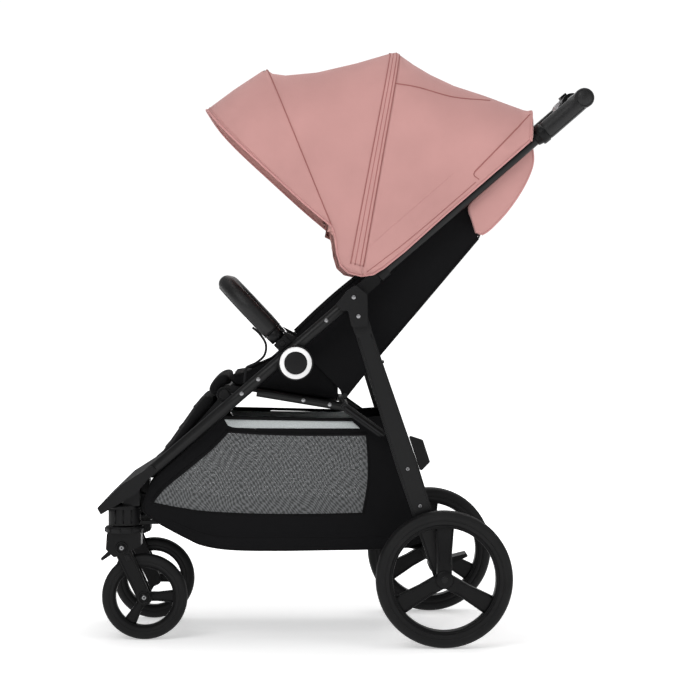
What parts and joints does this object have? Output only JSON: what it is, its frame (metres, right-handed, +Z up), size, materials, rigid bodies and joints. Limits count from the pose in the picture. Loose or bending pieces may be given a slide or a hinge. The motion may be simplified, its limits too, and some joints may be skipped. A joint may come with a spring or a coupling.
{
  "type": "baby stroller",
  "caption": "Folding baby stroller with reclining seat, folding hood, bumper bar, shopping basket, swivel front casters and large rear wheels.",
  "frame": {"origin": "on the floor, under the middle of the stroller's length and width", "axes": "+Z up, -X the way the stroller travels, -Y its left side"},
  "size_m": [0.9514, 0.5992, 1.145],
  "materials": {
    "tube_black": "satin black",
    "plastic_black": "fine moulded grain",
    "trim_white": "satin white",
    "screw_steel": "zinc plated",
    "button_grey": "silver",
    "tyre_black": "matte rubber",
    "grip_leather": "soft leather look",
    "fabric_black": "plain weave",
    "fabric_pink": "dusty pink weave",
    "fabric_mesh": "open mesh"
  },
  "bodies": {
    "front_frame": {"front_leg_left": "tube_black", "front_leg_right": "tube_black", "frame_bracket_left": "plastic_black", "frame_bracket_right": "plastic_black", "hub_housings": "plastic_black", "hub_rings": "trim_white", "hub_caps": "plastic_black", "caster_housings": "plastic_black", "side_panels": "fabric_black", "bumper_sockets": "plastic_black", "seat_frame": "tube_black", "footrest": "plastic_black", "seat_board": "plastic_black", "seat_pad": "fabric_black", "basket": "fabric_mesh", "frame_screws": "screw_steel"},
    "handle_frame": {"handle_tube_left": "tube_black", "handle_tube_right": "tube_black", "handle_sockets": "plastic_black", "handle_collars": "plastic_black", "handlebar": "tube_black", "handle_grip": "grip_leather", "fold_housing": "plastic_black", "hood_mounts": "plastic_black", "hood_rear_panel": "fabric_pink"},
    "fold_release": {"fold_button": "button_grey"},
    "hood_main": {"hood_bow_main": "tube_black"},
    "hood_front": {"hood_bow_front": "tube_black", "hood_front_panel": "fabric_pink"},
    "back_carrier": {"back_rod": "tube_black"},
    "back": {"back_board": "fabric_black", "back_pad": "fabric_black", "back_flap": "fabric_pink"},
    "rear_frame": {"rear_leg_left": "tube_black", "rear_leg_right": "tube_black", "rear_axle": "tube_black", "storage_catch": "plastic_black"},
    "brake": {"brake_pedal": "plastic_black"},
    "bumper": {"bumper_bar": "tube_black", "bumper_grip": "grip_leather"},
    "leg_rest": {"leg_rest_board": "fabric_black", "leg_rest_pad": "fabric_black"},
    "caster_left": {"caster_fork_left": "plastic_black"},
    "front_wheel_left": {"front_tyre_left": "tyre_black", "front_rim_left": "plastic_black"},
    "rear_wheel_left": {"rear_tyre_left": "tyre_black", "rear_rim_left": "plastic_black"},
    "swivel_stop_left": {"swivel_lock_left": "plastic_black"},
    "strut_left": {"brace_left": "tube_black"},
    "bumper_release_left": {"bumper_button_left": "plastic_black"},
    "leg_rest_release_left": {"leg_rest_button_left": "plastic_black"},
    "caster_right": {"caster_fork_right": "plastic_black"},
    "front_wheel_right": {"front_tyre_right": "tyre_black", "front_rim_right": "plastic_black"},
    "rear_wheel_right": {"rear_tyre_right": "tyre_black", "rear_rim_right": "plastic_black"},
    "swivel_stop_right": {"swivel_lock_right": "plastic_black"},
    "strut_right": {"brace_right": "tube_black"},
    "bumper_release_right": {"bumper_button_right": "plastic_black"},
    "leg_rest_release_right": {"leg_rest_button_right": "plastic_black"}
  },
  "joints": [
    {"name": "frame_fold", "type": "hinge", "parent": "front_frame", "child": "handle_frame", "pos_m": [0.02, 0, 0.663], "axis": [0, 1, 0], "range_deg": [0, 125], "deforming": ["basket"]},
    {"name": "rear_leg_fold", "type": "hinge", "parent": "front_frame", "child": "rear_frame", "pos_m": [0.029, 0, 0.627], "axis": [0, 1, 0], "range_deg": [0, 33]},
    {"name": "back_fold", "type": "hinge", "parent": "front_frame", "child": "back_carrier", "pos_m": [0.005, 0, 0.473], "axis": [0, 1, 0], "range_deg": [0, 41]},
    {"name": "recline", "type": "hinge", "parent": "back_carrier", "child": "back", "pos_m": [0.005, 0, 0.473], "axis": [0, -1, 0], "range_deg": [-38, 12], "deforming": ["back_flap"]},
    {"name": "hood_main_fold", "type": "hinge", "parent": "handle_frame", "child": "hood_main", "pos_m": [0.022, 0, 0.722], "axis": [0, 1, 0], "range_deg": [0, 34], "deforming": ["hood_rear_panel"]},
    {"name": "hood_front_fold", "type": "hinge", "parent": "hood_main", "child": "hood_front", "pos_m": [0.022, 0, 0.722], "axis": [0, 1, 0], "range_deg": [0, 34], "deforming": ["hood_front_panel"]},
    {"name": "fold_button_press", "type": "slide", "parent": "handle_frame", "child": "fold_release", "axis": [0.6534, 0, -0.757], "range_m": [0, 0.004], "stiffness_N_per_m": 600},
    {"name": "brake_press", "type": "hinge", "parent": "rear_frame", "child": "brake", "pos_m": [0.191, 0, 0.13], "axis": [0, 1, 0], "range_deg": [0, 18]},
    {"name": "bumper_pull", "type": "slide", "parent": "front_frame", "child": "bumper", "axis": [-0.6845, 0, 0.729], "range_m": [0, 0.03]},
    {"name": "leg_rest_raise", "type": "hinge", "parent": "front_frame", "child": "leg_rest", "pos_m": [-0.228, 0, 0.475], "axis": [0, 1, 0], "range_deg": [0, 45]},
    {"name": "caster_swivel_left", "type": "hinge", "parent": "front_frame", "child": "caster_left", "pos_m": [-0.4226, -0.16, 0.215], "axis": [0, 0, 1], "continuous": true},
    {"name": "front_wheel_spin_left", "type": "hinge", "parent": "caster_left", "child": "front_wheel_left", "pos_m": [-0.383, -0.16, 0.083], "axis": [0, 1, 0], "continuous": true},
    {"name": "rear_wheel_spin_left", "type": "hinge", "parent": "rear_frame", "child": "rear_wheel_left", "pos_m": [0.191, -0.28, 0.13], "axis": [0, 1, 0], "continuous": true},
    {"name": "swivel_lock_lift_left", "type": "hinge", "parent": "front_frame", "child": "swivel_stop_left", "pos_m": [-0.3878, -0.16, 0.227], "axis": [0, -1, 0], "range_deg": [0, 20]},
    {"name": "brace_fold_left", "type": "hinge", "parent": "front_frame", "child": "strut_left", "pos_m": [0.004, -0.216, 0.452], "axis": [0, 1, 0], "range_deg": [0, 106]},
    {"name": "bumper_button_press_left", "type": "slide", "parent": "front_frame", "child": "bumper_release_left", "axis": [0, 1, 0], "range_m": [0, 0.0025], "stiffness_N_per_m": 600},
    {"name": "leg_rest_button_press_left", "type": "slide", "parent": "front_frame", "child": "leg_rest_release_left", "axis": [0, 1, 0], "range_m": [0, 0.0025], "stiffness_N_per_m": 600},
    {"name": "caster_swivel_right", "type": "hinge", "parent": "front_frame", "child": "caster_right", "pos_m": [-0.4226, 0.16, 0.215], "axis": [0, 0, 1], "continuous": true},
    {"name": "front_wheel_spin_right", "type": "hinge", "parent": "caster_right", "child": "front_wheel_right", "pos_m": [-0.383, 0.16, 0.083], "axis": [0, 1, 0], "continuous": true},
    {"name": "rear_wheel_spin_right", "type": "hinge", "parent": "rear_frame", "child": "rear_wheel_right", "pos_m": [0.191, 0.28, 0.13], "axis": [0, 1, 0], "continuous": true},
    {"name": "swivel_lock_lift_right", "type": "hinge", "parent": "front_frame", "child": "swivel_stop_right", "pos_m": [-0.3878, 0.16, 0.227], "axis": [0, -1, 0], "range_deg": [0, 20]},
    {"name": "brace_fold_right", "type": "hinge", "parent": "front_frame", "child": "strut_right", "pos_m": [0.004, 0.216, 0.452], "axis": [0, 1, 0], "range_deg": [0, 106]},
    {"name": "bumper_button_press_right", "type": "slide", "parent": "front_frame", "child": "bumper_release_right", "axis": [0, -1, 0], "range_m": [0, 0.0025], "stiffness_N_per_m": 600},
    {"name": "leg_rest_button_press_right", "type": "slide", "parent": "front_frame", "child": "leg_rest_release_right", "axis": [0, -1, 0], "range_m": [0, 0.0025], "stiffness_N_per_m": 600}
  ],
  "couplings": [
    {"joint": "rear_leg_fold", "follows": "frame_fold", "ratio": 0.26},
    {"joint": "back_fold", "follows": "frame_fold", "ratio": 0.32},
    {"joint": "hood_front_fold", "follows": "hood_main_fold", "ratio": 1},
    {"joint": "brace_fold_left", "follows": "frame_fold", "ratio": 0.84},
    {"joint": "brace_fold_right", "follows": "frame_fold", "ratio": 0.84}
  ]
}
